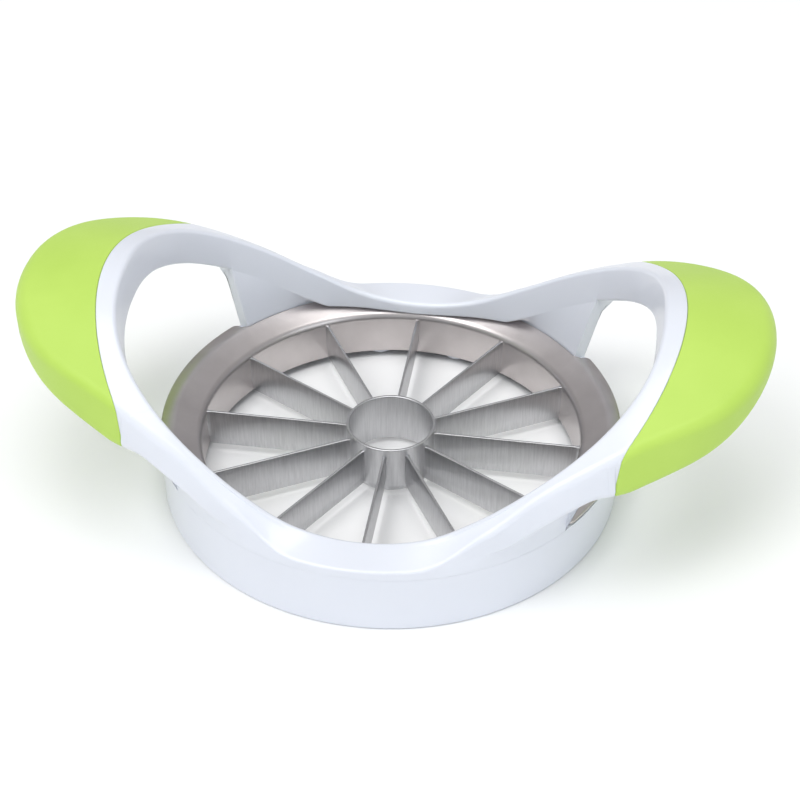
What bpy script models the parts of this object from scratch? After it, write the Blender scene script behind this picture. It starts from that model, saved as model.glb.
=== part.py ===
"""Apple slicer and wedger: a round cutting base with two raised loop handles.

Metres, +Z up. The origin is the middle of the foot, on the table. X runs through the two handles,
-Y is the front. Angles round the part are counted from the front (-Y) towards +X.
"""
from math import acos, atan, atan2, cos, hypot, pi, radians, sin

import bmesh
import bpy
from mathutils import Vector

# Fits between touching pieces
seat_gap = 0.0003          # clearance left between two pieces that touch

# Round base
ring_radius = 0.0524       # outer face of the base
ring_height = 0.0165       # table to the flat lip at the front and back
skirt_wall = 0.0026        # wall of the base
foot_round = 0.0006        # rounded outer edge at the foot

# Stainless cutting ring
steel_thickness = 0.0007
deck_width = 0.0092        # outer face of the base to the inside of the collar
deck_depth = 0.0013        # flat lip of the frame down to the top of the steel rim
dish_depth = 0.0016        # how far the steel deck falls from its rim to its bend
bend_radius = 0.0013       # inside the bend from deck to collar
rim_inset = 0.0001         # the steel rim stops this far short of the base's outer face
collar_clearance = 0.0020  # table to the lower edge of the collar

# Core cutter and radial blades
core_radius = 0.0102       # outside of the core cutter
core_wall = 0.0007
core_clearance = 0.0014    # table to the core cutter's edge
core_stand = 0.0018        # the core cutter rises this far above the blades
core_bevel = 0.0016        # height of the ground edge on the core cutter
blade_count = 12
blade_thickness = 0.0006
blade_edge = 0.00012       # flat left at the ground edge
blade_bevel = 0.0024       # height of the ground edge
blade_clearance = 0.0022   # table to the cutting edge
blade_height = 0.0096

# Frame: lip, arms and handles
lip_width = 0.0094         # radial width of the flat lip at the front and back
lip_seat_width = 0.0027    # outer part of the lip that reaches down to the base
finger_gap = 0.0059        # base to the inner wall of the handle, in plan
handle_width = 0.0237      # inner wall to outer edge, at the end of the handle
handle_rise = 0.0348       # flat lip up to the top of the handle's inner edge
arm_height = 0.0065        # ridge of the arm down to its lower outer edge
inner_wall_height = 0.0088 # inner wall of the arm and handle
handle_nose_height = 0.0079
handle_belly = 0.0042      # extra depth under the front and back corners of the grip
arm_top_fall = 0.0013      # the arm's top falls this far from its inner edge to its ridge
handle_top_fall = 0.0015
handle_crown = 0.0009
lip_edge_round = 0.0010
inner_edge_round = 0.0010
ridge_round = 0.0020
nose_round = 0.0036
lower_edge_round = 0.0013
arm_draft = 0.0006         # the arm's outer face leans in this far on its way down
inner_draft = 0.0012       # the handle's inner wall leans in this far on its way down

# Soft grips
white_band = 0.0046        # inner wall of the handle to the grip's seam, at the end of the handle
grip_wall = 0.0020         # grip above and below the tongue
grip_nose_wall = 0.0030    # grip outside the tongue, at the end of the handle
tip_width = 0.0020         # width of the grip where its tip ends

# Screws that clamp the base, the cutting ring and the frame together
screw_radius = 0.0010
screw_length = 0.0095      # under the head
screw_tip_height = 0.0012
screw_tip_radius = 0.0004
screw_head_radius = 0.0020
screw_head_height = 0.0015
screw_socket_radius = 0.0011
screw_socket_depth = 0.0008
screw_sink = 0.0012        # foot's plane up to the head
boss_wall = 0.0007         # plastic round a screw hole, in the frame
cup_wall = 0.0009          # plastic round a screw head, in the base
boss_drop = 0.0060         # the frame's bosses reach this far below its seam
cup_clearance = 0.0006     # table to the underside of the base's screw cups
overrun = 0.0020           # how far a cutting solid passes the face that it cuts

# Angles, exponents and shares
arm_departure_angle = radians(17.8)   # where the arm leaves the round base
ridge_start_angle = radians(13.0)     # where the arm's ridge leaves the lip's edge
ridge_free_angle = radians(31.0)
web_end_angle = radians(53.5)         # where the web under the arm stops
web_end_fade = radians(1.2)
belly_start_angle = radians(50.0)     # between these the handle's outer side is deeper
belly_full_angle = radians(58.0)
belly_fade_angle = radians(66.0)
belly_end_angle = radians(86.0)
screw_angle = radians(12.0)
mouth_exponent = 2.6                  # fullness of the frame's inner outline
handle_exponent = 2.13                # fullness of the handle's outer outline
rise_exponent = 2.16
blend_exponent = 14.0                 # how tightly the arm's line rounds into the handle
angle_step = radians(0.25)            # step of the search for the grip's tip
tip_wall_share = 0.42                 # grip wall at the tip as a share of the grip's width there
least_round_share = 0.25              # smallest corner round as a share of the lip's edge round
largest_clip_share = 0.9              # how much of a corner's reach a seam may cut off
round_limit_share = 0.25              # largest inner edge round as a share of the wall's height
web_corner_shares = ((1.0, 1.0), (0.62, 0.62), (0.22, 0.30))   # out and up from the web's crease
socket_lobe_share = 0.14              # depth of the six lobes in the screw's socket

# How finely round shapes are cut
turn_steps = 96
tube_steps = 48
screw_steps = 24
arm_stations = 12
handle_stations = 11
corner_points = 3
bend_points = 6
foot_points = 4
top_spans = 3
under_spans = 5
grip_spans = 4
socket_lobes = 6

# Sizes that follow
lip_inner = ring_radius - lip_width
mouth_reach = ring_radius + finger_gap
handle_reach = mouth_reach + handle_width
grip_radius = mouth_reach + white_band   # the seam between frame and grip is round, seen from above
rim_top = ring_height - deck_depth
skirt_top = rim_top - steel_thickness - seat_gap
seat_radius = ring_radius - lip_seat_width
collar_inner = ring_radius - deck_width
collar_outer = collar_inner + steel_thickness
rim_radius = ring_radius - rim_inset
deck_cut_radius = seat_radius - seat_gap
bend_start = collar_outer + bend_radius
dish_slope = dish_depth / (deck_cut_radius - bend_start)
bend_height = rim_top - dish_depth - (bend_radius + steel_thickness) * hypot(1, dish_slope)
skirt_inner = ring_radius - skirt_wall
seam_height = skirt_top + seat_gap
blade_top = blade_clearance + blade_height
boss_radius = screw_radius + seat_gap + boss_wall
cup_radius = screw_head_radius + seat_gap + cup_wall
boss_ring = collar_outer + seat_gap + cup_radius
boss_foot = seam_height - boss_drop
screw_seat = screw_sink + screw_head_height
tip_gap_angle = seat_gap / grip_radius
wing_edge_angle = web_end_angle + web_end_fade + seat_gap / ring_radius


def remove_everything():
    for item in list(bpy.data.objects):
        bpy.data.objects.remove(item, do_unlink=True)


def plain_material(name, colour, roughness, metallic):
    made = bpy.data.materials.new(name)
    made.use_nodes = True
    shader = made.node_tree.nodes["Principled BSDF"]
    shader.inputs["Base Color"].default_value = (*colour, 1.0)
    shader.inputs["Roughness"].default_value = roughness
    shader.inputs["Metallic"].default_value = metallic
    made.diffuse_color = (*colour, 1.0)
    return made


def add_object(name, body, material, sharp_degrees=35.0):
    """Turn a bmesh into a smooth-shaded object with outward faces."""
    bmesh.ops.recalc_face_normals(body, faces=body.faces)
    mesh = bpy.data.meshes.new(name)
    body.to_mesh(mesh)
    body.free()
    mesh.materials.append(material)
    mesh.shade_smooth()
    mesh.set_sharp_from_angle(angle=radians(sharp_degrees))
    made = bpy.data.objects.new(name, mesh)
    bpy.context.scene.collection.objects.link(made)
    return made


def add_cutter(target, name, body, operation="DIFFERENCE"):
    """Give the target an exact Boolean with a hidden helper solid."""
    bmesh.ops.recalc_face_normals(body, faces=body.faces)
    mesh = bpy.data.meshes.new(name)
    body.to_mesh(mesh)
    body.free()
    tool = bpy.data.objects.new(name, mesh)
    bpy.context.scene.collection.objects.link(tool)
    tool.hide_render = True
    tool.display_type = "WIRE"
    cut = target.modifiers.new(name, "BOOLEAN")
    cut.operation = operation
    cut.solver = "EXACT"
    cut.object = tool
    return tool


def polar(radius, angle, height):
    """A point at this angle from the front, counted towards +X."""
    return Vector((radius * sin(angle), -radius * cos(angle), height))


def join_loops(body, loops, closed):
    """Skin rings of points; each ring is a closed loop with the same number of points."""
    rings = [[body.verts.new(point) for point in loop] for loop in loops]
    pairs = list(zip(rings, rings[1:]))
    if closed:
        pairs.append((rings[-1], rings[0]))
    for first, second in pairs:
        count = len(first)
        for k in range(count):
            after = (k + 1) % count
            body.faces.new((first[k], first[after], second[after], second[k]))
    if not closed:
        body.faces.new(rings[0])
        body.faces.new(list(reversed(rings[-1])))


def turned(outline, steps):
    """A ring turned round Z from a closed outline of (radius, height) points."""
    body = bmesh.new()
    loops = [[polar(r, 2 * pi * k / steps, z) for r, z in outline] for k in range(steps)]
    join_loops(body, loops, closed=True)
    return body


def upright_prism(body, outline, low, high):
    """Add a closed upright prism on an outline of (x, y) points."""
    join_loops(body, [[Vector((x, y, z)) for x, y in outline] for z in (low, high)], closed=False)


def circle_outline(centre, radius, steps):
    return [(centre.x + radius * cos(2 * pi * k / steps), centre.y + radius * sin(2 * pi * k / steps))
            for k in range(steps)]


def notch_outline(centre, radius, reach, steps):
    """A slot with a round inner end that runs outward from the middle of the part."""
    outward = Vector((centre.x, centre.y, 0)).normalized()
    aside = Vector((-outward.y, outward.x, 0))
    points = []
    for k in range(steps + 1):
        turn = pi / 2 + pi * k / steps
        points.append(centre + outward * (radius * cos(turn)) + aside * (radius * sin(turn)))
    points.append(points[-1] + outward * reach)
    points.append(points[0] + outward * reach)
    return [(point.x, point.y) for point in points]


def sector_outline(inner, outer, start, stop, steps):
    """Part of a flat ring between two angles."""
    turns = [mix(start, stop, k / steps) for k in range(steps + 1)]
    points = [polar(outer, turn, 0) for turn in turns]
    points += [polar(inner, turn, 0) for turn in reversed(turns)]
    return [(point.x, point.y) for point in points]


def arc_points(centre, radius, start, stop, count):
    """Points of an arc in the (radius, height) plane, angles in radians."""
    return [(centre[0] + radius * cos(start + (stop - start) * k / (count - 1)),
             centre[1] + radius * sin(start + (stop - start) * k / (count - 1)))
            for k in range(count)]


def mix(first, second, share):
    return first + (second - first) * share


def ease(value, low, high):
    """0 below low, 1 above high, smooth between."""
    share = min(max((value - low) / (high - low), 0.0), 1.0)
    return share * share * (3 - 2 * share)


def fold(angle):
    """The angle of the matching place in the front right quarter, 0 to 90 degrees."""
    return atan2(abs(sin(angle)), abs(cos(angle)))


def oval_radius(angle, half_length, half_breadth, exponent):
    """Distance from the middle to a rounded oval with its long axis along X."""
    across = (abs(sin(angle)) / half_length) ** exponent
    along = (abs(cos(angle)) / half_breadth) ** exponent
    return (across + along) ** (-1 / exponent)


def frame_inner(angle):
    return oval_radius(angle, mouth_reach, lip_inner, mouth_exponent)


def frame_outer(angle):
    """Round at the front, then straight along the arm, then round the end of the handle."""
    arm = ring_radius / cos(max(angle - arm_departure_angle, 0.0))
    handle = oval_radius(angle, handle_reach, ring_radius, handle_exponent)
    free = (arm ** -blend_exponent + handle ** -blend_exponent) ** (-1 / blend_exponent)
    return mix(ring_radius, free, ease(angle, ridge_start_angle, ridge_free_angle))


def top_inner_height(angle):
    return ring_height + handle_rise * sin(angle) ** rise_exponent


def under_lip_height(radius):
    """Underside of the frame's lip, parallel to the steel deck."""
    return rim_top + seat_gap * hypot(1, dish_slope) - dish_slope * max(deck_cut_radius - radius, 0.0)


class Station:
    """The frame's cross-section in the upright plane at one angle."""

    def __init__(self, angle):
        self.angle = angle
        side = fold(angle)
        arm = ease(side, arm_departure_angle, 2 * arm_departure_angle)
        end = ease(side, web_end_angle, pi / 2)
        self.side = side
        self.inner = frame_inner(side)
        self.outer = frame_outer(side)
        self.top_in = top_inner_height(side)
        fall = mix(arm_top_fall * arm, handle_top_fall, end)
        rise = ease(side, ridge_start_angle, ridge_free_angle)
        self.top_out = mix(ring_height, self.top_in - fall, rise)
        self.crown = handle_crown * end
        belly = ease(side, belly_start_angle, belly_full_angle)
        belly *= 1 - ease(side, belly_fade_angle, belly_end_angle)
        height = mix(arm_height, handle_nose_height, end) + handle_belly * belly
        self.under_out = max(self.top_out - height, seam_height + lip_edge_round)
        self.under_in = max(self.top_in - inner_wall_height, under_lip_height(self.inner))
        self.ridge = mix(mix(lip_edge_round, ridge_round, arm), nose_round, end)
        self.ridge = min(self.ridge, (self.top_out - self.under_out) / 2)
        self.lower = min(mix(lower_edge_round, nose_round, end), (self.top_out - self.under_out) / 2)
        self.lean = arm_draft * arm * (1 - end)
        self.inner_low = self.inner - inner_draft * arm

    def share(self, radius):
        return (radius - self.inner) / (self.outer - self.inner)

    def top(self, radius):
        s = self.share(radius)
        return mix(self.top_in, self.top_out, s) + self.crown * 4 * s * (1 - s)

    def under(self, radius):
        return mix(self.under_in, self.under_out, self.share(radius))

    def upper_path(self, limit, inset, wall, flat_count):
        """Top of the section from the limit out to its edge, drawn in by the wall."""
        ridge = max(self.ridge - wall, lip_edge_round * least_round_share)
        centre = (self.outer - inset - ridge, self.top(self.outer - self.ridge) - wall - ridge)
        if limit >= centre[0]:
            start = acos(min((limit - centre[0]) / ridge, largest_clip_share))
            return arc_points(centre, ridge, start, 0, flat_count + corner_points)
        flat = [mix(limit, centre[0], k / flat_count) for k in range(flat_count)]
        corner = arc_points(centre, ridge, pi / 2, 0, corner_points)
        return [(radius, self.top(radius) - wall) for radius in flat] + corner

    def lower_path(self, limit, inset, wall, flat_count):
        """Underside of the section from its edge in to the limit, drawn in by the wall."""
        lower = max(self.lower - wall, lip_edge_round * least_round_share)
        foot = self.under(self.outer - self.lean - self.lower)
        centre = (self.outer - self.lean - inset - lower, foot + wall + lower)
        if limit >= centre[0]:
            stop = -acos(min((limit - centre[0]) / lower, largest_clip_share))
            return arc_points(centre, lower, 0, stop, flat_count + corner_points)
        flat = [mix(centre[0], limit, k / flat_count) for k in range(1, flat_count + 1)]
        corner = arc_points(centre, lower, 0, -pi / 2, corner_points)
        return corner + [(radius, self.under(radius) + wall) for radius in flat]


def has_grip(side):
    return frame_outer(side) - grip_radius > tip_width


def grip_walls(at):
    """Wall above and below the tongue, and outside it; thinner where the grip is narrow."""
    limit = (at.outer - grip_radius) * tip_wall_share
    return min(grip_wall, limit), min(grip_nose_wall, limit)


def frame_outline(angle):
    """Closed outline of the white frame at this angle, as (radius, height) points."""
    at = Station(angle)
    in_grip = at.side > tongue_start_angle() - tip_gap_angle / 2
    round_in = min(inner_edge_round, (at.top_in - at.under_in) * round_limit_share)
    foot = at.inner_low + round_in
    corner = (at.inner + round_in, at.top_in - round_in)
    points = [(at.inner_low, at.under_in + round_in)]
    points += arc_points(corner, round_in, pi, pi / 2, corner_points)
    if at.side <= web_end_angle:
        points += at.upper_path(corner[0], 0.0, 0.0, top_spans)[1:]
        points += web_outline(at)
        points.append((foot, max(at.under_in, under_lip_height(foot))))
    elif in_grip:
        wall, nose_wall = grip_walls(at)
        points.append(at.upper_path(grip_radius, 0.0, 0.0, 1)[0])
        points += at.upper_path(grip_radius, nose_wall + seat_gap, wall + seat_gap, 1)
        points += at.lower_path(grip_radius, nose_wall + seat_gap, wall + seat_gap, 2)
        points.append(at.lower_path(grip_radius, 0.0, 0.0, 1)[-1])
        middle = (foot + grip_radius) / 2
        points.append((middle, at.under(middle)))
        points.append((foot, at.under(foot)))
    else:
        points += at.upper_path(corner[0], 0.0, 0.0, top_spans)[1:]
        points += at.lower_path(foot, 0.0, 0.0, under_spans)
    return points


def web_outline(at):
    """Outer side of the lip or arm and of the web under it, down to the seat on the base."""
    edge = at.lower_path(at.inner, 0.0, 0.0, 1)[0]
    crease = min(ring_height, at.top_out - lip_edge_round, edge[1] - seat_gap)
    reach = (max(edge[0] - ring_radius, 0.0), max(edge[1] - crease, 0.0))
    points = [(ring_radius + reach[0] * out_share, crease + reach[1] * up_share)
              for out_share, up_share in web_corner_shares]
    points.append((ring_radius, (seam_height + crease) / 2))
    points.append((ring_radius, seam_height))
    points.append((seat_radius, seam_height))
    points.append((seat_radius, under_lip_height(seat_radius)))
    return points


def grip_start_angle():
    """The first angle at which the handle is wide enough for the grip's tip."""
    angle = web_end_angle + 2 * web_end_fade
    while angle < pi / 2 and not has_grip(angle):
        angle += angle_step
    return angle


def tongue_start_angle():
    """The frame steps in to its tongue just before the grip's tip."""
    return grip_start_angle() - tip_gap_angle


def grip_angles():
    """Angles of the grip's sections, from its tip to the end of the handle."""
    start = grip_start_angle()
    return [mix(start, pi / 2, k / handle_stations) for k in range(handle_stations + 1)]


def frame_angles():
    """Angles of the frame's sections in the front right quarter, with a close pair at each step."""
    along_web = [web_end_angle * k / arm_stations for k in range(arm_stations + 1)]
    tongue = tongue_start_angle()
    open_arm = [web_end_angle + web_end_fade, tongue - tip_gap_angle, tongue]
    return along_web + open_arm + grip_angles()[1:]


def whole_turn(quarter):
    """Repeat a quarter's angles all the way round."""
    first = list(quarter)
    second = [pi - a for a in reversed(quarter[:-1])]
    half = first + second
    return half + [pi + a for a in half[1:-1]]


def screw_places():
    """Middle of each screw at table height: two at the front and two at the back."""
    turns = (-screw_angle, screw_angle, pi - screw_angle, pi + screw_angle)
    return [polar(boss_ring, turn, 0) for turn in turns]


def make_frame(material):
    body = bmesh.new()
    loops = []
    for angle in whole_turn(frame_angles()):
        loops.append([polar(r, angle, z) for r, z in frame_outline(angle)])
    join_loops(body, loops, closed=True)
    frame = add_object("frame", body, material)
    bosses = bmesh.new()
    holes = bmesh.new()
    boss_top = under_lip_height(boss_ring) + seat_gap
    hole_top = screw_seat + screw_length + seat_gap
    for place in screw_places():
        upright_prism(bosses, circle_outline(place, boss_radius, screw_steps), boss_foot, boss_top)
        hole = circle_outline(place, screw_radius + seat_gap, screw_steps)
        upright_prism(holes, hole, boss_foot - overrun, hole_top)
    add_cutter(frame, "frame_bosses", bosses, "UNION")
    add_cutter(frame, "frame_screw_holes", holes)
    return frame


def grip_outline(angle):
    """Closed outline of a grip: a thick C that wraps the frame's tongue."""
    at = Station(angle)
    seam = grip_radius + seat_gap
    wall, nose_wall = grip_walls(at)
    skin = at.upper_path(seam, 0.0, 0.0, grip_spans) + at.lower_path(seam, 0.0, 0.0, grip_spans)
    inside = at.upper_path(seam, nose_wall, wall, 1) + at.lower_path(seam, nose_wall, wall, 2)
    return skin + list(reversed(inside))


def make_grip(name, side, material):
    """One soft grip; side is 1 for the +X handle and -1 for the -X handle."""
    quarter = grip_angles()
    turns = quarter + [pi - a for a in reversed(quarter[:-1])]
    body = bmesh.new()
    loops = [[polar(r, side * turn, z) for r, z in grip_outline(turn)] for turn in turns]
    join_loops(body, loops, closed=False)
    return add_object(name, body, material)


def make_skirt(material):
    foot = arc_points((ring_radius - foot_round, foot_round), foot_round, -pi / 2, 0, foot_points)
    outline = [(skirt_inner, 0.0)] + foot + [(ring_radius, skirt_top), (skirt_inner, skirt_top)]
    skirt = add_object("skirt", turned(outline, turn_steps), material)
    cups = bmesh.new()
    holes = bmesh.new()
    for place in screw_places():
        cup = circle_outline(place, cup_radius, screw_steps)
        upright_prism(cups, cup, cup_clearance, boss_foot - seat_gap)
        head = circle_outline(place, screw_head_radius + seat_gap, screw_steps)
        upright_prism(holes, head, -overrun, screw_seat + seat_gap)
    add_cutter(skirt, "skirt_screw_cups", cups, "UNION")
    add_cutter(skirt, "skirt_head_holes", holes)
    shafts = bmesh.new()
    for place in screw_places():
        shaft = circle_outline(place, screw_radius + seat_gap, screw_steps)
        upright_prism(shafts, shaft, screw_sink, boss_foot + overrun)
    add_cutter(skirt, "skirt_shaft_holes", shafts)
    return skirt


def make_blade_ring(material):
    """Flat rim, dished deck, bend and upright collar, pressed from one sheet."""
    slope_turn = pi / 2 + atan(dish_slope)
    centre = (bend_start, bend_height)
    upper = arc_points(centre, bend_radius + steel_thickness, pi, slope_turn, bend_points)
    lower = arc_points(centre, bend_radius, slope_turn, pi, bend_points)
    outline = [(collar_inner, collar_clearance)] + upper
    outline += [(deck_cut_radius, rim_top), (rim_radius, rim_top)]
    outline += [(rim_radius, rim_top - steel_thickness), (deck_cut_radius, rim_top - steel_thickness)]
    outline += lower + [(collar_outer, collar_clearance)]
    ring = add_object("blade_ring", turned(outline, turn_steps), material)
    body = bmesh.new()
    for middle in (0, pi):
        sector = sector_outline(deck_cut_radius, ring_radius + overrun, middle - wing_edge_angle,
                                middle + wing_edge_angle, turn_steps // 3)
        upright_prism(body, sector, rim_top - steel_thickness - overrun, rim_top + overrun)
    add_cutter(ring, "lip_relief", body)
    notches = bmesh.new()
    for place in screw_places():
        notch = notch_outline(place, boss_radius + seat_gap, ring_radius - boss_ring, screw_steps // 2)
        upright_prism(notches, notch, bend_height, rim_top + overrun)
    add_cutter(ring, "boss_notches", notches)
    return ring


def make_core_ring(material):
    inside = core_radius - core_wall
    top = blade_top + core_stand
    outline = [(inside, core_clearance), (inside + blade_edge, core_clearance),
               (core_radius, core_clearance + core_bevel), (core_radius, top), (inside, top)]
    return add_object("core_ring", turned(outline, tube_steps), material)


def make_blades(material):
    """One blade along -Y, ground to an edge below, repeated round the core cutter."""
    half = blade_thickness / 2
    edge = blade_edge / 2
    low = blade_clearance
    section = [(-edge, low), (edge, low), (half, low + blade_bevel), (half, blade_top),
               (-half, blade_top), (-half, low + blade_bevel)]
    body = bmesh.new()
    loops = [[Vector((x, -reach, z)) for x, z in section]
             for reach in (core_radius + seat_gap, collar_inner - seat_gap)]
    join_loops(body, loops, closed=False)
    first = add_object("blade_01", body, material)
    for k in range(1, blade_count):
        blade = bpy.data.objects.new(f"blade_{k + 1:02d}", first.data)
        blade.rotation_euler.z = 2 * pi * k / blade_count
        bpy.context.scene.collection.objects.link(blade)


def make_screws(material):
    """A tapping screw with a six-lobed socket, head down, repeated at each place."""
    def ring(radius, height, lobe_share=0.0):
        points = []
        for k in range(screw_steps):
            turn = 2 * pi * k / screw_steps
            reach = radius * (1 + lobe_share * cos(socket_lobes * turn))
            points.append(Vector((reach * cos(turn), reach * sin(turn), height)))
        return points

    foot = screw_seat + screw_length
    loops = [ring(screw_socket_radius, screw_sink + screw_socket_depth, socket_lobe_share),
             ring(screw_socket_radius, screw_sink, socket_lobe_share),
             ring(screw_head_radius, screw_sink), ring(screw_head_radius, screw_seat),
             ring(screw_radius, screw_seat), ring(screw_radius, foot - screw_tip_height),
             ring(screw_tip_radius, foot)]
    body = bmesh.new()
    join_loops(body, loops, closed=False)
    places = screw_places()
    first = add_object("screw_1", body, material)
    first.location = places[0]
    for number, place in enumerate(places[1:], start=2):
        screw = bpy.data.objects.new(f"screw_{number}", first.data)
        screw.location = place
        bpy.context.scene.collection.objects.link(screw)


def main():
    remove_everything()
    white = plain_material("white_plastic", (0.86, 0.86, 0.90), 0.25, 0.0)
    steel = plain_material("stainless_steel", (0.56, 0.54, 0.53), 0.22, 1.0)
    blade_steel = plain_material("blade_steel", (0.62, 0.62, 0.62), 0.18, 1.0)
    lime = plain_material("lime_grip", (0.50, 0.76, 0.14), 0.55, 0.0)
    zinc = plain_material("screw_steel", (0.50, 0.50, 0.50), 0.30, 1.0)
    make_skirt(white)
    make_blade_ring(steel)
    make_core_ring(blade_steel)
    make_blades(blade_steel)
    make_frame(white)
    make_grip("grip_right", 1, lime)
    make_grip("grip_left", -1, lime)
    make_screws(zinc)


main()
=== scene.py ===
"""Looks of the apple slicer and wedger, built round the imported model.

Metres, +Z up, -Y is the front, X runs through the two handles. Angles round the part are
counted from the front (-Y) towards +X, as in the model. Each section of the frame and grips
lies in an upright plane through the Z axis.
"""
from math import atan, atan2, cos, hypot, pi, radians, sin, tan

import bmesh
import bpy
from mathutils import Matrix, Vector


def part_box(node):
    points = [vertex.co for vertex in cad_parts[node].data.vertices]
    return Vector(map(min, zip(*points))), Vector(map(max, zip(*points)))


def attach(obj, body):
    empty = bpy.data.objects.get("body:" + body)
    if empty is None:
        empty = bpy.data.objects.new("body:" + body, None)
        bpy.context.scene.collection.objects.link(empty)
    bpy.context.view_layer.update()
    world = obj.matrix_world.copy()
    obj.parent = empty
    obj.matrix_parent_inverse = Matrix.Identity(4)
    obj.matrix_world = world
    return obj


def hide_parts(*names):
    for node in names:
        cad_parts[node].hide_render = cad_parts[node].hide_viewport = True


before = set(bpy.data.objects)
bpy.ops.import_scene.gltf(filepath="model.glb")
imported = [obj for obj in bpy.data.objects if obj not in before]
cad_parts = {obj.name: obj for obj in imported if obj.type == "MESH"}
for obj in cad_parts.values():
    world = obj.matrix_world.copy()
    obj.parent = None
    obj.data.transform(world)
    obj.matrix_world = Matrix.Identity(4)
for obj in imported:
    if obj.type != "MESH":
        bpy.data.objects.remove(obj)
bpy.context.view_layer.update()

# The model's own sizes
ring_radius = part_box("skirt")[1].x
ring_height = 0.0165
rim_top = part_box("blade_ring")[1].z
skirt_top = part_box("skirt")[1].z
steel_thickness = 0.0007
seat_gap = 0.0003
skirt_wall = 0.0026
foot_round = 0.0006
deck_width = 0.0092
dish_depth = 0.0016
bend_radius = 0.0013
rim_inset = 0.0001
collar_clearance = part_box("blade_ring")[0].z
core_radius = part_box("core_ring")[1].x
core_wall = 0.0007
core_bevel = 0.0016
blade_count = 12
blade_thickness = 0.0006
blade_bevel = 0.0024
lip_width = 0.0094
lip_seat_width = 0.0027
finger_gap = 0.0059
handle_width = 0.0237
handle_rise = 0.0348
arm_height = 0.0065
inner_wall_height = 0.0088
handle_nose_height = 0.0079
handle_belly = 0.0042
arm_top_fall = 0.0013
handle_top_fall = 0.0015
lip_edge_round = 0.0010
ridge_round = 0.0020
nose_round = 0.0036
inner_draft = 0.0012
white_band = 0.0046
screw_radius = 0.0010
screw_head_radius = 0.0020
screw_head_height = 0.0015
screw_socket_radius = 0.0011
screw_socket_depth = 0.0008
screw_sink = 0.0012
boss_wall = 0.0007
cup_wall = 0.0009
boss_drop = 0.0060
cup_clearance = 0.0006

arm_departure_angle = radians(17.8)
ridge_start_angle = radians(13.0)
ridge_free_angle = radians(31.0)
web_end_angle = radians(53.5)
web_end_fade = radians(1.2)
belly_start_angle = radians(50.0)
belly_full_angle = radians(58.0)
belly_fade_angle = radians(66.0)
belly_end_angle = radians(86.0)
screw_angle = radians(12.0)
mouth_exponent = 2.6
handle_exponent = 2.13
rise_exponent = 2.16
blend_exponent = 14.0
socket_lobe_share = 0.14
socket_lobes = 6

# Close to the model's, a little finer or fuller for the looks
blade_edge = 0.00006
handle_crown = 0.00086
inner_edge_round = 0.0011
lower_edge_round = 0.0020

# Fine details that only the looks carry
inner_low_round = 0.0008   # at the foot of the frame's inner wall
seam_gap = 0.00001         # hairline between base and frame
seam_round = 0.00003
flat_hold = 0.0002         # keeps the shading of a flat face level up to its round
grip_gap = 0.00006         # hairline between frame and grip
grip_seam_round = 0.00024
tip_round_share = 0.3      # largest round at the grip's tip, as a share of its width there
web_fillet = 0.0008        # round at the top of the web's end
tip_angle = radians(54.75)
valley_start_angle = radians(20.0)   # the hollow under the arm deepens between these
valley_full_angle = radians(40.0)
emerge_start_angle = radians(23.0)   # the arm's lower edge stands clear between these
emerge_full_angle = radians(38.0)
crest_inset = 0.0015       # the arm's ridge stands in from its outermost edge
crest_start_angle = radians(29.0)
crest_full_angle = radians(44.0)
crest_fade_angle = radians(58.0)
crest_end_angle = radians(72.0)
lip_dish = 0.0004          # the lip's top is hollow where the arm leaves it
dish_start_angle = radians(10.0)
dish_full_angle = radians(24.0)
dish_end_angle = radians(48.0)
closing_share = 0.8        # how far the sections close up towards the grip's tip
hollow_shares = (0.04, 0.80)   # out and up from the crease to the hollow's turning point
fillet_height_share = 0.22   # of the web's end, taken up by that round
sheet_round = 0.00018      # broken edge of the steel sheet
rim_knee_round = 0.0040    # the dished deck runs level into its rim
rim_corner_round = 0.0016  # where the rim comes out beside the web
weld_length = 0.0009
weld_width = 0.0011
weld_shares = (0.15, 0.5, 1.0)   # sections along a weld, from its root
weld_root_share = 0.3      # of the walls' thickness, that a blade's end runs in
span_shares = (0.4, 0.7)   # sections between the welds
bead_start = 1.4           # the weld starts this high, in heights of the ground edge
blade_round_share = 0.3    # of the blade's thickness, at its top
round_middle_share = 0.3   # of that round, at its middle point
ground_shares = ((0.55, 0.5), (0.96, 0.94))   # out and up along the ground edge
socket_floor_share = 0.9
screw_tip_share = 0.4
hone_round = 0.00003       # at the core cutter's edge
core_bevel_round = 0.0004
core_top_round = 0.00022
foot_inset = 0.0002        # the base's inner edge at the foot is eased
inner_foot_round = 0.0004
cup_mouth_round = 0.00015
cup_foot_round = 0.00025
cup_top_round = 0.0002
screw_hole_round = 0.0001
screw_edge = 0.0002        # broken edges of the screw's head and socket

# Fineness of the meshes
skirt_steps = 256
tube_steps = 48
core_steps = 144
screw_steps = 72
bend_steps = 12
edge_points = 4            # points in a broken edge
knee_points = 5
core_edge_points = 5
foot_points = 7
hidden_steps = 28          # sections of the deck under the frame's lip
corner_steps = 6
rim_steps = 24
web_steps = 72
fillet_steps = 8
free_steps = 4             # sections between the web's end and the grip's tip
shoulder_steps = 4
band_steps = 52
grip_steps = 48
grip_points = 96
end_steps = 5              # sections in a grip's rounded end
hollow_steps = 5
least_wall_points = 6      # points that the grip's seam takes up at least
seam_reach = 1.6           # in seam rounds: what lies nearer to the seam takes part in its round
angle_apart = 1e-5         # in radians, keeps two sections at one angle apart
edge_lead = 1e-4           # leads into a broken edge
knee_lead = 1e-5           # leads on from the rim's knee
hairpin = 3.0              # in radians: a sharper turn is rounded like a square corner
smallest = 1e-7            # shorter lengths count as none
merge_distance = 2e-7
least_length = 1e-9        # keeps a division from failing
sharp_angle = 32.0         # in degrees: the shading breaks where two faces turn more than this
moulding_sharp_angle = 40.0
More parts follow.
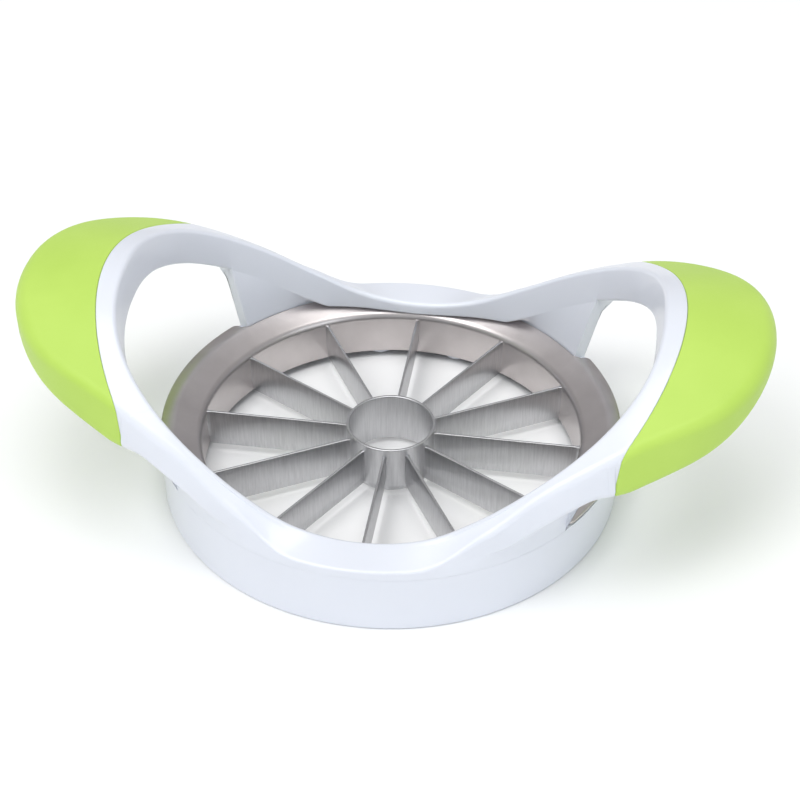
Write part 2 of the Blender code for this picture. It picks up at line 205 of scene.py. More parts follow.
blade_sharp_angle = 30.0

# Sizes that follow
lip_inner = ring_radius - lip_width
mouth_reach = ring_radius + finger_gap
handle_reach = mouth_reach + handle_width
grip_radius = mouth_reach + white_band
seat_radius = ring_radius - lip_seat_width
deck_cut_radius = seat_radius - seat_gap
collar_inner = ring_radius - deck_width
collar_outer = collar_inner + steel_thickness
bend_start = collar_outer + bend_radius
dish_slope = dish_depth / (deck_cut_radius - bend_start)
bend_height = rim_top - dish_depth - (bend_radius + steel_thickness) * hypot(1, dish_slope)
skirt_inner = ring_radius - skirt_wall
seam_height = skirt_top + seam_gap
boss_foot = skirt_top + seat_gap - boss_drop
boss_radius = screw_radius + seat_gap + boss_wall
cup_radius = screw_head_radius + seat_gap + cup_wall
boss_ring = collar_outer + seat_gap + cup_radius
screw_seat = screw_sink + screw_head_height
arm_full_angle = 2 * arm_departure_angle
wing_edge_angle = web_end_angle + web_end_fade + seat_gap / ring_radius


def mix(first, second, share):
    """The number a share of the way from one to the other."""
    return first + (second - first) * share


def ease(value, low, high):
    """From 0 at low to 1 at high, with a smooth start and end."""
    share = min(max((value - low) / (high - low), 0.0), 1.0)
    return share * share * (3 - 2 * share)


def polar(radius, angle, height):
    """A place in space, with the angle counted from the front towards +X."""
    return Vector((radius * sin(angle), -radius * cos(angle), height))


def fold(angle):
    """The angle of the matching place in the front right quarter."""
    return atan2(abs(sin(angle)), abs(cos(angle)))


def oval_radius(angle, half_length, half_breadth, exponent):
    """Radius of an oval between an ellipse and a rectangle, squarer for a higher exponent."""
    across = (abs(sin(angle)) / half_length) ** exponent
    along = (abs(cos(angle)) / half_breadth) ** exponent
    return (across + along) ** (-1 / exponent)


def frame_inner(angle):
    """Radius of the edge round the mouth and the finger openings."""
    return oval_radius(angle, mouth_reach, lip_inner, mouth_exponent)


def frame_outer(angle):
    """Outermost radius: the base, then a straight arm, then the handle."""
    arm = ring_radius / cos(max(angle - arm_departure_angle, 0.0))
    handle = oval_radius(angle, handle_reach, ring_radius, handle_exponent)
    free = (arm ** -blend_exponent + handle ** -blend_exponent) ** (-1 / blend_exponent)
    return mix(ring_radius, free, ease(angle, ridge_start_angle, ridge_free_angle))


def under_lip_height(radius):
    """Height of the frame's underside over the dished deck."""
    return rim_top + seat_gap * hypot(1, dish_slope) - dish_slope * max(deck_cut_radius - radius, 0.0)


def rounded(before, corner, after, radius, count, first_share=0.5, last_share=0.5):
    """Points of a circle's arc at a corner; the shares say how much of each side it may take up."""
    a = Vector(before) - Vector(corner)
    b = Vector(after) - Vector(corner)
    if a.length < smallest or b.length < smallest:
        return [tuple(corner)] * count
    turn = pi - a.angle(b)
    reach = radius * tan(turn / 2) if turn < hairpin else radius
    reach = min(reach, a.length * first_share, b.length * last_share)
    start = Vector(corner) + a.normalized() * reach
    stop = Vector(corner) + b.normalized() * reach
    weight = cos(turn / 2)
    points = []
    for k in range(count):
        t = k / (count - 1)
        parts = ((1 - t) ** 2, 2 * weight * t * (1 - t), t * t)
        spot = start * parts[0] + Vector(corner) * parts[1] + stop * parts[2]
        points.append(tuple(spot / sum(parts)))
    return points


def blend(first, last, share):
    """The point a share of the way from one (radius, height) point to another."""
    return mix(first[0], last[0], share), mix(first[1], last[1], share)


def between(first, last, count):
    """Points on a straight line, without its ends."""
    return [blend(first, last, k / (count + 1)) for k in range(1, count + 1)]


def resample(points, count):
    """Evenly spaced points along a polyline, with both ends."""
    steps = [0.0]
    for a, b in zip(points, points[1:]):
        steps.append(steps[-1] + hypot(b[0] - a[0], b[1] - a[1]))
    found, k = [], 0
    for n in range(count):
        goal = steps[-1] * n / (count - 1)
        while k < len(steps) - 2 and steps[k + 1] < goal:
            k += 1
        length = max(steps[k + 1] - steps[k], least_length)
        found.append(blend(points[k], points[k + 1], (goal - steps[k]) / length))
    return found


def cut_at(points, radius):
    """Split a line that runs out past a radius and back: before, crossing, beyond, crossing, after."""
    def crossing(k):
        a, b = points[k], points[k + 1]
        return (radius, mix(a[1], b[1], (radius - a[0]) / (b[0] - a[0])))

    beyond = [k for k, point in enumerate(points) if point[0] > radius]
    first, last = beyond[0], beyond[-1]
    return points[:first], crossing(first - 1), points[first:last + 1], crossing(last), points[last + 1:]


class Section:
    """Cross-section of the moulding at one angle, as (radius, height) outlines."""

    # Points in each part of an outline
    low_points = 5
    top_points = 8
    flat_points = 13
    ridge_points = 12
    under_points = 8
    floor_points = 9
    seam_points = 5
    back_points = 3
    # How much of the sides before and after a corner its round may take up
    low_shares = (0.2, 0.3)
    top_shares = (0.4, 0.3)
    ridge_shares = (0.45, 0.55)
    under_shares = (0.45, 0.45)
    web_shares = (0.4, 0.45)
    band_shares = (0.95, 0.1)
    grip_shares = (0.1, 0.45)

    def __init__(self, angle):
        side = fold(angle)
        arm = ease(side, arm_departure_angle, arm_full_angle)
        end = ease(side, web_end_angle, pi / 2)
        self.side = side
        self.arm = arm
        self.inner = frame_inner(side)
        self.outer = frame_outer(side)
        self.top_in = ring_height + handle_rise * sin(side) ** rise_exponent
        rise = ease(side, ridge_start_angle, ridge_free_angle)
        fall = mix(arm_top_fall * arm, handle_top_fall, end)
        crest = ease(side, crest_start_angle, crest_full_angle)
        crest *= 1 - ease(side, crest_fade_angle, crest_end_angle)
        self.top_out = mix(ring_height, self.top_in - fall * (1 - crest), rise)
        self.ridge_at = self.outer - crest_inset * crest
        dish = ease(side, dish_start_angle, dish_full_angle)
        dish *= 1 - ease(side, dish_full_angle, dish_end_angle)
        self.crown = handle_crown * end - lip_dish * dish
        belly = ease(side, belly_start_angle, belly_full_angle)
        belly *= 1 - ease(side, belly_fade_angle, belly_end_angle)
        height = mix(arm_height, handle_nose_height, end) + handle_belly * belly
        self.under_in = max(self.top_in - inner_wall_height, under_lip_height(self.inner))
        self.under_out = mix(ring_height, self.top_in - fall, rise) - height
        self.inner_low = self.inner - inner_draft * arm
        self.ridge = mix(mix(lip_edge_round, ridge_round, arm), nose_round, end)
        self.lower = mix(lower_edge_round, nose_round, end)
        self.low_edge = self.outer
        valley = ease(side, valley_start_angle, valley_full_angle)
        self.crease = mix(seam_height + 3 * seam_round, ring_height, valley)
        self.emerge = ease(side, emerge_start_angle, emerge_full_angle)
        free_height = max(self.under_out, self.crease + 2 * seam_round)
        self.low = (mix((self.ridge_at + ring_radius) / 2, self.low_edge, self.emerge),
                    mix((self.top_out + self.crease) / 2, free_height, self.emerge))

    def raised(self, points):
        """Add the crown of the handle's top to points of its upper side."""
        width = self.ridge_at - self.inner
        result = []
        for radius, height in points:
            s = min(max((radius - self.inner) / width, 0.0), 1.0)
            result.append((radius, height + self.crown * 4 * s * (1 - s)))
        return result

    def inner_side(self, openness=1.0):
        """Up the inner wall: low round, then top round."""
        low = (self.inner_low, self.under_in)
        high = (self.inner, self.top_in)
        seat = (seat_radius, under_lip_height(seat_radius))
        before = (self.low_edge, self.under_out) if openness > 0 else seat
        points = rounded(before, low, high, inner_low_round, self.low_points, *self.low_shares)
        after = (self.ridge_at, self.top_out)
        points += rounded(low, high, after, inner_edge_round, self.top_points, *self.top_shares)
        return points

    def ridge_side(self, openness=1.0):
        """Along the top and round the ridge."""
        high_in = (self.inner, self.top_in)
        high = (self.ridge_at, self.top_out)
        low = (self.low_edge, self.under_out) if openness > 0 else self.low
        ridge = rounded(high_in, high, low, self.ridge, self.ridge_points, *self.ridge_shares)
        first = self.inner_side()[-1]
        return self.raised(between(first, ridge[0], self.flat_points) + ridge)

    def open_side(self):
        """Under a free arm or handle: lower round, then the underside back to the inner wall."""
        high = (self.ridge_at, self.top_out)
        low = (self.low_edge, self.under_out)
        under = (self.inner_low, self.under_in)
        corner = rounded(high, low, under, self.lower, self.under_points, *self.under_shares)
        return corner + between(corner[-1], self.inner_side()[0], self.floor_points)

    def web_side(self):
        """Lower edge of the arm, hollow down to the crease, down to the seam, and back under the web."""
        high = (self.ridge_at, self.top_out)
        low = self.low
        crease = (ring_radius, self.crease)
        foot = (ring_radius, seam_height)
        out_share, up_share = hollow_shares
        turning = (mix(crease[0], low[0], mix(0.5, out_share, self.emerge)),
                   mix(crease[1], low[1], mix(0.5, up_share, self.emerge)))
        corner = rounded(high, low, turning, self.lower, self.under_points, *self.web_shares)
        points = list(corner)
        for k in range(1, hollow_steps + 1):
            t = k / hollow_steps
            points.append(blend(blend(corner[-1], turning, t), blend(turning, crease, t), t))
        points.append((ring_radius, seam_height + seam_round))
        points.append((ring_radius - seam_round, seam_height))
        points.append((seat_radius, seam_height))
        points.append((seat_radius, under_lip_height(seat_radius)))
        return points

    def outline(self, openness):
        """Whole outline; openness 0 has the web down to the base, 1 has a free arm."""
        closed = self.web_side()
        free = self.open_side()
        side = []
        corner_openness = max(openness, ease(self.side, valley_full_angle, web_end_angle))
        for k, (a, b) in enumerate(zip(closed, free)):
            side.append(blend(a, b, corner_openness if k < self.under_points else openness))
        points = self.inner_side(openness) + self.ridge_side(openness) + side
        if openness == 0:
            points = [(r, max(z, under_lip_height(r)) if r < seat_radius else z) for r, z in points]
        return points

    def skin(self):
        """Free section from the top of the inner wall round the outside to its foot."""
        return self.inner_side()[self.low_points:] + self.ridge_side() + self.open_side()

    def band_outline(self, radius):
        """The white part between the inner wall and the grip's seam, point for point as outline(1)."""
        points = self.outline(1.0)
        near = radius - seam_reach * grip_seam_round
        beyond = [k for k, point in enumerate(points) if point[0] > near]
        first, last = beyond[0], beyond[-1]
        while last + 1 - first < least_wall_points:
            first -= 1
            last += 1
        count = min(self.seam_points, (last + 1 - first) // 2)
        _, top, _, low, _ = cut_at(self.skin(), radius)
        out_share, wall_share = self.band_shares
        corner = rounded(points[first - 1], top, low, grip_seam_round, count, out_share, wall_share)
        base = rounded(top, low, points[last + 1], grip_seam_round, count, wall_share, out_share)
        wall = between(corner[-1], base[0], last + 1 - first - 2 * count)
        return points[:first] + corner + wall + base + points[last + 1:]

    def grip_outline(self, radius):
        """The grip from its seam round the nose and back."""
        _, top, outside, low, _ = cut_at(self.skin(), radius)
        wall_share, out_share = self.grip_shares
        count = self.seam_points
        corner = rounded(low, top, outside[0], grip_seam_round, count, wall_share, out_share)
        base = rounded(outside[-1], low, top, grip_seam_round, count, out_share, wall_share)
        body = resample([corner[-1]] + outside + [base[0]], grip_points)
        return corner[:-1] + body + base[1:] + between(base[-1], corner[0], self.back_points)


def shrink(points, amount):
    """Move a closed outline inward, for the rounded ends of a piece."""
    count = len(points)
    area = sum(points[k][0] * points[(k + 1) % count][1] - points[(k + 1) % count][0] * points[k][1]
               for k in range(count))
    turn = 1 if area > 0 else -1
    moved = []
    for k in range(count):
        ax, ay = points[k - 1]
        bx, by = points[(k + 1) % count]
        length = max(hypot(bx - ax, by - ay), least_length)
        moved.append((points[k][0] - turn * (by - ay) / length * amount,
                      points[k][1] + turn * (bx - ax) / length * amount))
    return moved


def shoulder(points, amount):
    """Shrink only what stands out beyond the grip's seam."""
    moved = []
    for before, after in zip(points, shrink(points, amount)):
        moved.append(blend(before, after, ease(before[0], grip_radius, grip_radius + grip_seam_round)))
    return moved


def join_loops(body, loops, closed):
    """Skin a row of loops; a row that isn't closed gets a cap at each end."""
    rings = [[body.verts.new(point) for point in loop] for loop in loops]
    pairs = list(zip(rings, rings[1:]))
    if closed:
        pairs.append((rings[-1], rings[0]))
    for first, second in pairs:
        count = len(first)
        for k in range(count):
            after = (k + 1) % count
            body.faces.new((first[k], first[after], second[after], second[k]))
    if not closed:
        body.faces.new(rings[0])
        body.faces.new(list(reversed(rings[-1])))


def add_piece(name, body, material, sharp_degrees=sharp_angle):
    """Finish a bmesh as a smooth-shaded piece that rides on the root body."""
    bmesh.ops.remove_doubles(body, verts=body.verts, dist=merge_distance)
    bmesh.ops.recalc_face_normals(body, faces=body.faces)
    mesh = bpy.data.meshes.new(name)
    body.to_mesh(mesh)
    body.free()
    mesh.materials.append(material)
    mesh.shade_smooth()
    mesh.set_sharp_from_angle(angle=radians(sharp_degrees))
    piece = bpy.data.objects.new(name, mesh)
    bpy.context.scene.collection.objects.link(piece)
    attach(piece, "root")
    return piece


def whole_turn(quarter):
    """Repeat a quarter's (angle, outline) sections all the way round."""
    first = list(quarter)
    second = [(pi - angle, outline) for angle, outline in reversed(quarter[:-1])]
    half = first + second
    return half + [(pi + angle, outline) for angle, outline in half[1:-1]]


# Materials
def shader_of(name):
    """A new material, with its nodes, links and main shader."""
    made = bpy.data.materials.new(name)
    made.use_nodes = True
    return made, made.node_tree.nodes, made.node_tree.links, made.node_tree.nodes["Principled BSDF"]


def noise(nodes, links, vector, scale, detail, roughness=0.5):
    """Cloudy noise; the scale is in clouds to the metre, unless the place is stretched."""
    made = nodes.new("ShaderNodeTexNoise")
    made.inputs["Scale"].default_value = scale
    made.inputs["Detail"].default_value = detail
    made.inputs["Roughness"].default_value = roughness
    links.new(vector, made.inputs["Vector"])
    return made.outputs["Fac"]


def ramp(nodes, links, value, stops):
    """Colours between (position, colour) stops."""
    made = nodes.new("ShaderNodeValToRGB")
    made.color_ramp.elements[0].position = stops[0][0]
    made.color_ramp.elements[0].color = (*stops[0][1], 1)
    made.color_ramp.elements[1].position = stops[1][0]
    made.color_ramp.elements[1].color = (*stops[1][1], 1)
    for position, colour in stops[2:]:
        made.color_ramp.elements.new(position).color = (*colour, 1)
    links.new(value, made.inputs["Fac"])
    return made.outputs["Color"]


def span(nodes, links, value, low, high, from_low=0.0, from_high=1.0):
    """A value between from_low and from_high, brought to low and high."""
    made = nodes.new("ShaderNodeMapRange")
    made.inputs["From Min"].default_value = from_low
    made.inputs["From Max"].default_value = from_high
    made.inputs["To Min"].default_value = low
    made.inputs["To Max"].default_value = high
    links.new(value, made.inputs["Value"])
    return made.outputs["Result"]


def bump(nodes, links, height, distance, strength, before=None):
    """A relief of that distance in metres, on top of the relief before."""
    made = nodes.new("ShaderNodeBump")
    made.inputs["Distance"].default_value = distance
    made.inputs["Strength"].default_value = strength
    links.new(height, made.inputs["Height"])
    if before:
        links.new(before, made.inputs["Normal"])
    return made.outputs["Normal"]


def white_plastic():
    """Gloss moulded plastic: faint flow clouding, orange peel, handling marks."""
    made, nodes, links, shader = shader_of("white_gloss_plastic")
    place = nodes.new("ShaderNodeTexCoord").outputs["Object"]
    cloud = noise(nodes, links, place, scale=42.0, detail=4.0)
    tone = ramp(nodes, links, cloud, [(0.25, (0.742, 0.766, 0.832)), (0.75, (0.764, 0.787, 0.848))])
    links.new(tone, shader.inputs["Base Color"])
    marks = noise(nodes, links, place, scale=260.0, detail=4.0, roughness=0.6)
    rough = span(nodes, links, marks, low=0.29, high=0.35, from_low=0.2, from_high=0.8)
    links.new(rough, shader.inputs["Roughness"])
    peel = noise(nodes, links, place, scale=200.0, detail=1.0)
    fine = noise(nodes, links, place, scale=1400.0, detail=2.0)
    relief = bump(nodes, links, peel, distance=0.000010, strength=0.12)
    relief = bump(nodes, links, fine, distance=0.000002, strength=0.15, before=relief)
    links.new(relief, shader.inputs["Normal"])
    shader.inputs["IOR"].default_value = 1.49
    shader.inputs["Coat Weight"].default_value = 0.35
    shader.inputs["Coat Roughness"].default_value = 0.10
    shader.inputs["Subsurface Weight"].default_value = 0.06
    shader.inputs["Subsurface Radius"].default_value = (0.0016, 0.0014, 0.0013)
    shader.inputs["Subsurface Scale"].default_value = 1.0
    return made


def lime_rubber():
    """Matte soft-touch elastomer with a fine spark texture."""
    made, nodes, links, shader = shader_of("lime_soft_rubber")
    place = nodes.new("ShaderNodeTexCoord").outputs["Object"]
    cloud = noise(nodes, links, place, scale=60.0, detail=5.0)
    tone = ramp(nodes, links, cloud, [(0.25, (0.448, 0.655, 0.094)), (0.75, (0.492, 0.700, 0.114))])
    links.new(tone, shader.inputs["Base Color"])
    pebble = noise(nodes, links, place, scale=3200.0, detail=2.0, roughness=0.6)
    rough = span(nodes, links, pebble, low=0.48, high=0.66, from_low=0.3, from_high=0.7)
    links.new(rough, shader.inputs["Roughness"])
    wave = noise(nodes, links, place, scale=150.0, detail=2.0)
    relief = bump(nodes, links, wave, distance=0.00008, strength=0.25)
    relief = bump(nodes, links, pebble, distance=0.00003, strength=0.4, before=relief)
    links.new(relief, shader.inputs["Normal"])
    shader.inputs["Sheen Weight"].default_value = 0.12
    shader.inputs["Sheen Roughness"].default_value = 0.5
    return made


def polar_place(nodes, links, along, across):
    """Object place as (angle, radius, height), stretched for marks that run round the part."""
    place = nodes.new("ShaderNodeTexCoord").outputs["Object"]
    split = nodes.new("ShaderNodeSeparateXYZ")
    links.new(place, split.inputs[0])
    turn = nodes.new("ShaderNodeMath")
    turn.operation = "ARCTAN2"
    links.new(split.outputs["Y"], turn.inputs[0])
    links.new(split.outputs["X"], turn.inputs[1])
    flat = nodes.new("ShaderNodeCombineXYZ")
    links.new(split.outputs["X"], flat.inputs["X"])
    links.new(split.outputs["Y"], flat.inputs["Y"])
    length = nodes.new("ShaderNodeVectorMath")
    length.operation = "LENGTH"
    links.new(flat.outputs[0], length.inputs[0])
    made = nodes.new("ShaderNodeCombineXYZ")
    for source, socket, scale in ((turn.outputs[0], "X", along), (length.outputs["Value"], "Y", across),
                                  (split.outputs["Z"], "Z", across)):
        scaled = nodes.new("ShaderNodeMath")
        scaled.operation = "MULTIPLY"
        scaled.inputs[1].default_value = scale
        links.new(source, scaled.inputs[0])
        links.new(scaled.outputs[0], made.inputs[socket])
    return made.outputs[0], place


def pressed_steel():
    """Stainless sheet with marks that run round the ring and faint water spots."""
    made, nodes, links, shader = shader_of("pressed_stainless")
    round_place, place = polar_place(nodes, links, along=6.0, across=5200.0)
    lines = noise(nodes, links, round_place, scale=1.0, detail=3.0, roughness=0.6)
    spots = noise(nodes, links, place, scale=160.0, detail=4.0, roughness=0.55)
    tone = ramp(nodes, links, spots, [(0.3, (0.560, 0.520, 0.512)), (0.7, (0.615, 0.575, 0.566))])
    links.new(tone, shader.inputs["Base Color"])
    total = nodes.new("ShaderNodeMath")
    total.operation = "ADD"
    links.new(span(nodes, links, lines, low=0.15, high=0.19), total.inputs[0])
    stains = span(nodes, links, spots, low=0.13, high=0.17, from_low=0.3, from_high=0.7)
    links.new(stains, total.inputs[1])
    links.new(total.outputs[0], shader.inputs["Roughness"])
    links.new(bump(nodes, links, lines, distance=0.000012, strength=0.35), shader.inputs["Normal"])
    shader.inputs["Metallic"].default_value = 1.0
    return made


def blade_steel():
    """Ground stainless with fine upright grinding marks."""
    made, nodes, links, shader = shader_of("ground_stainless")
    place = nodes.new("ShaderNodeTexCoord").outputs["Object"]
    stretch = nodes.new("ShaderNodeMapping")
    stretch.inputs["Scale"].default_value = (2600.0, 2600.0, 160.0)
    links.new(place, stretch.inputs["Vector"])
    lines = noise(nodes, links, stretch.outputs[0], scale=1.0, detail=3.0, roughness=0.6)
    tone = ramp(nodes, links, lines, [(0.3, (0.50, 0.50, 0.51)), (0.75, (0.62, 0.62, 0.63))])
    links.new(tone, shader.inputs["Base Color"])
    rough = span(nodes, links, lines, low=0.29, high=0.36, from_low=0.2, from_high=0.8)
    links.new(rough, shader.inputs["Roughness"])
    links.new(bump(nodes, links, lines, distance=0.000004, strength=0.2), shader.inputs["Normal"])
    shader.inputs["Metallic"].default_value = 1.0
    return made


def screw_steel():
    """Zinc plate with a fine grain."""
    made, nodes, links, shader = shader_of("zinc_plated_steel")
    place = nodes.new("ShaderNodeTexCoord").outputs["Object"]
    grains = noise(nodes, links, place, scale=1800.0, detail=3.0)
    tone = ramp(nodes, links, grains, [(0.3, (0.40, 0.41, 0.43)), (0.7, (0.55, 0.56, 0.58))])
    links.new(tone, shader.inputs["Base Color"])
    links.new(span(nodes, links, grains, low=0.30, high=0.44), shader.inputs["Roughness"])
    links.new(bump(nodes, links, grains, distance=0.00001, strength=0.4), shader.inputs["Normal"])
    shader.inputs["Metallic"].default_value = 1.0
    return made


# Pieces
def make_frame(material):
    """Webbed arms, the web's rounded end, a shoulder at the grip's tip, then the handle's white band."""
    quarter = []
    for k in range(web_steps):
        t = k / web_steps
        angle = web_end_angle * mix(t, t * (2 - t), closing_share)
        quarter.append((angle, Section(angle).outline(0.0)))
    quarter.append((web_end_angle, Section(web_end_angle).outline(0.0)))
    fillet_end = web_end_angle + web_fillet / mouth_reach
    for k in range(fillet_steps + 1):
        angle = mix(web_end_angle, fillet_end, k / fillet_steps)
        along = 1 - k / fillet_steps
        openness = 1 - fillet_height_share * (1 - (1 - along * along) ** 0.5)
        quarter.append((angle + angle_apart, Section(angle).outline(openness)))
    shoulder_end = tip_angle - grip_gap / grip_radius
    round_angle = grip_seam_round / grip_radius
    for k in range(1, free_steps + 1):
        angle = mix(fillet_end, shoulder_end - round_angle, k / free_steps)
        quarter.append((angle, Section(angle).outline(1.0)))
    for k in range(1, shoulder_steps + 1):
        turn = pi / 2 * k / shoulder_steps
        angle = shoulder_end - round_angle * (1 - sin(turn))
        quarter.append((angle, shoulder(Section(angle).outline(1.0), grip_seam_round * (1 - cos(turn)))))
    for k in range(band_steps + 1):
        t = k / band_steps
        angle = mix(shoulder_end, pi / 2, mix(t, t * t, closing_share))
        quarter.append((angle, Section(angle).band_outline(grip_radius)))
    body = bmesh.new()
    loops = [[polar(r, angle, z) for r, z in outline] for angle, outline in whole_turn(quarter)]
    join_loops(body, loops, closed=True)
    piece = add_piece("frame_moulding", body, material, moulding_sharp_angle)
    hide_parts("frame")


def make_grip(name, node, side, material):
    """The soft skin from one tip to the other; side is 1 on the right and -1 on the left."""
    round_angle = grip_seam_round / grip_radius
    start = tip_angle + round_angle
    quarter = []
    for k in range(end_steps):
        turn = pi / 2 * k / end_steps
        angle = start - round_angle * cos(turn)
        section = Section(angle)
        most = (section.outer - grip_radius) * tip_round_share
        amount = min(grip_seam_round, most) * (1 - sin(turn))
        quarter.append((angle, shrink(section.grip_outline(grip_radius + grip_gap), amount)))
    for k in range(grip_steps + 1):
        angle = mix(start, pi / 2, k / grip_steps)
        quarter.append((angle, Section(angle).grip_outline(grip_radius + grip_gap)))
    turns = quarter + [(pi - angle, outline) for angle, outline in reversed(quarter[:-1])]
    body = bmesh.new()
    loops = [[polar(r, side * angle, z) for r, z in outline] for angle, outline in turns]
    join_loops(body, loops, closed=False)
    piece = add_piece(name, body, material, moulding_sharp_angle)
    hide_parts(node)


def turned_piece(name, outline, steps, material, centre=(0.0, 0.0)):
    """A ring or solid turned round an upright axis from a closed (radius, height) outline."""
    body = bmesh.new()
    loops = []
    for k in range(steps):
        turn = 2 * pi * k / steps
        loops.append([(centre[0] + r * cos(turn), centre[1] + r * sin(turn), z) for r, z in outline])
    join_loops(body, loops, closed=True)
    return add_piece(name, body, material)


def soft_outline(corners, count=edge_points):
    """A closed outline with each (radius, height, round) corner rounded and long sides held flat."""
    total = len(corners)
    rounds = []
    for k in range(total):
        before = corners[k - 1][:2]
        after = corners[(k + 1) % total][:2]
        if corners[k][2] > 0:
            rounds.append(rounded(before, corners[k][:2], after, corners[k][2], count))
        else:
            rounds.append([tuple(corners[k][:2])])
    points = []
    for k in range(total):
        first, last = rounds[k][-1], rounds[(k + 1) % total][0]
        length = hypot(last[0] - first[0], last[1] - first[1])
        points += rounds[k]
        if length > 4 * flat_hold:
            for share in (flat_hold / length, 1 - flat_hold / length):
                points.append((mix(first[0], last[0], share), mix(first[1], last[1], share)))
    return points


def screw_places():
    """The screws' axes, two at the front and two at the back."""
    turns = (-screw_angle, screw_angle, pi - screw_angle, pi + screw_angle)
    return [polar(boss_ring, turn, 0) for turn in turns]


def make_skirt(material):
    """The base's wall, with a cup for each screw head and the frame's boss above it."""
    corners = [(skirt_inner + foot_inset, 0.0, inner_foot_round), (ring_radius, 0.0, foot_round),
               (ring_radius, skirt_top, seam_round), (skirt_inner, skirt_top, seam_round)]
    outline = soft_outline(corners, foot_points)
    piece = turned_piece("skirt_wall", outline, skirt_steps, material)
    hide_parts("skirt")
    bore = screw_radius + seat_gap
    pocket = screw_head_radius + seat_gap
    pocket_top = screw_seat + seat_gap
    cup_top = boss_foot - seat_gap
    boss_top = under_lip_height(boss_ring) + seat_gap
    cup = [(pocket, cup_clearance, cup_mouth_round), (cup_radius, cup_clearance, cup_foot_round),
           (cup_radius, cup_top, cup_top_round), (bore, cup_top, screw_hole_round),
           (bore, pocket_top, 0.0), (pocket, pocket_top, screw_hole_round)]
    boss = [(screw_radius, boss_foot, 0.0), (boss_radius, boss_foot, cup_top_round),
            (boss_radius, boss_top, 0.0), (screw_radius, boss_top, 0.0)]
    for number, place in enumerate(screw_places(), start=1):
        for kind, corners in (("cup", cup), ("boss", boss)):
            turned_piece(f"screw_{kind}_{number}", soft_outline(corners), tube_steps, material,
                         place[:2])


def make_blade_ring(material):
    """Collar, bend, dished deck and rim; the rim is cut back under the frame's lip."""
    slope_turn = pi / 2 + atan(dish_slope)

    def bend(radius, first, last):
        turns = [mix(first, last, k / bend_steps) for k in range(bend_steps + 1)]
        return [(bend_start + radius * cos(turn), bend_height + radius * sin(turn)) for turn in turns]

    def broken(before, corner, after, **shares):
        return rounded(before, corner, after, sheet_round, edge_points, **shares)

    def outline(rim):
        under = rim_top - steel_thickness
        flat = min(rim - sheet_round, deck_cut_radius)
        near = flat - edge_lead
        upper = bend(bend_radius + steel_thickness, pi, slope_turn)
        lower = bend(bend_radius, slope_turn, pi)
        knee_place = (flat, rim_top - dish_slope * (deck_cut_radius - flat))
        knee = rounded(upper[-1], knee_place, (rim + knee_lead, rim_top), rim_knee_round, knee_points)
        edge = broken((near, rim_top), (rim, rim_top), (rim, under), first_share=1.0)
        edge += broken((rim, rim_top), (rim, under), (near, under), last_share=1.0)
        outside, inside = (collar_outer, collar_clearance), (collar_inner, collar_clearance)
        foot = broken(lower[-1], outside, inside) + broken(outside, inside, upper[0])
        return upper + knee + edge + [(flat, under)] + lower + foot

    rim_radius = ring_radius - rim_inset
    corner_angle = rim_corner_round / rim_radius
    quarter = []
    for k in range(hidden_steps):
        quarter.append((wing_edge_angle * k / hidden_steps, outline(deck_cut_radius)))
    for k in range(corner_steps + 1):
        turn = pi / 2 * k / corner_steps
        angle = wing_edge_angle + angle_apart + corner_angle * (1 - cos(turn))
        quarter.append((angle, outline(rim_radius - rim_corner_round * (1 - sin(turn)))))
    for k in range(1, rim_steps + 1):
        angle = mix(wing_edge_angle + corner_angle, pi / 2, k / rim_steps)
        quarter.append((angle, outline(rim_radius)))
    body = bmesh.new()
    loops = [[polar(r, angle, z) for r, z in points] for angle, points in whole_turn(quarter)]
    join_loops(body, loops, closed=True)
    piece = add_piece("cutting_ring", body, material, moulding_sharp_angle)
    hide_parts("blade_ring")


def make_core_ring(material):
    """A tube whose outside is ground to an edge below."""
    low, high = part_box("core_ring")
    inside = core_radius - core_wall
    corners = [(inside, low.z, hone_round), (inside + blade_edge, low.z, hone_round),
               (core_radius, low.z + core_bevel, core_bevel_round), (core_radius, high.z, core_top_round),
               (inside, high.z, core_top_round)]
    outline = soft_outline(corners, core_edge_points)
    piece = turned_piece("core_cutter", outline, core_steps, material)
    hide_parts("core_ring")


def make_blades(material):
    """Each blade runs from core cutter to collar, ground below, with a weld bead at each end."""
    low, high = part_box("blade_01")
    half = blade_thickness / 2
    top_round = blade_thickness * blade_round_share
    middle = top_round * round_middle_share
    start = core_radius - core_wall * weld_root_share
    stop = collar_inner + steel_thickness * weld_root_share
    beads = [weld_length * share for share in weld_shares]
    stations = [start] + [core_radius + bead for bead in beads]
    stations += [mix(start, stop, share) for share in span_shares]
    stations += [collar_inner - bead for bead in reversed(beads)] + [stop]
    ground = [(blade_edge, low.z)]
    ground += [(half * out, low.z + blade_bevel * up) for out, up in ground_shares]
    ground += [(half, low.z + blade_bevel)]
    for number in range(1, blade_count + 1):
        outward = polar(1, 2 * pi * (number - 1) / blade_count, 0)
        aside = Vector((-outward.y, outward.x, 0))
        body = bmesh.new()
        loops = []
        for reach in stations:
            near = min(reach - core_radius, collar_inner - reach)
            flare = 1 - min(max(near / weld_length, 0.0), 1.0)
            wide = half + (weld_width / 2 - half) * flare * flare
            side = ground + [(wide, low.z + blade_bevel * bead_start), (wide, high.z - top_round),
                             (wide - middle, high.z - middle), (wide - top_round, high.z)]
            section = side + [(-x, z) for x, z in reversed(side)]
            loops.append([outward * reach + aside * x + Vector((0, 0, z)) for x, z in section])
        join_loops(body, loops, closed=False)
        piece = add_piece(f"radial_blade_{number:02d}", body, material, blade_sharp_angle)
        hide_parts(f"blade_{number:02d}")


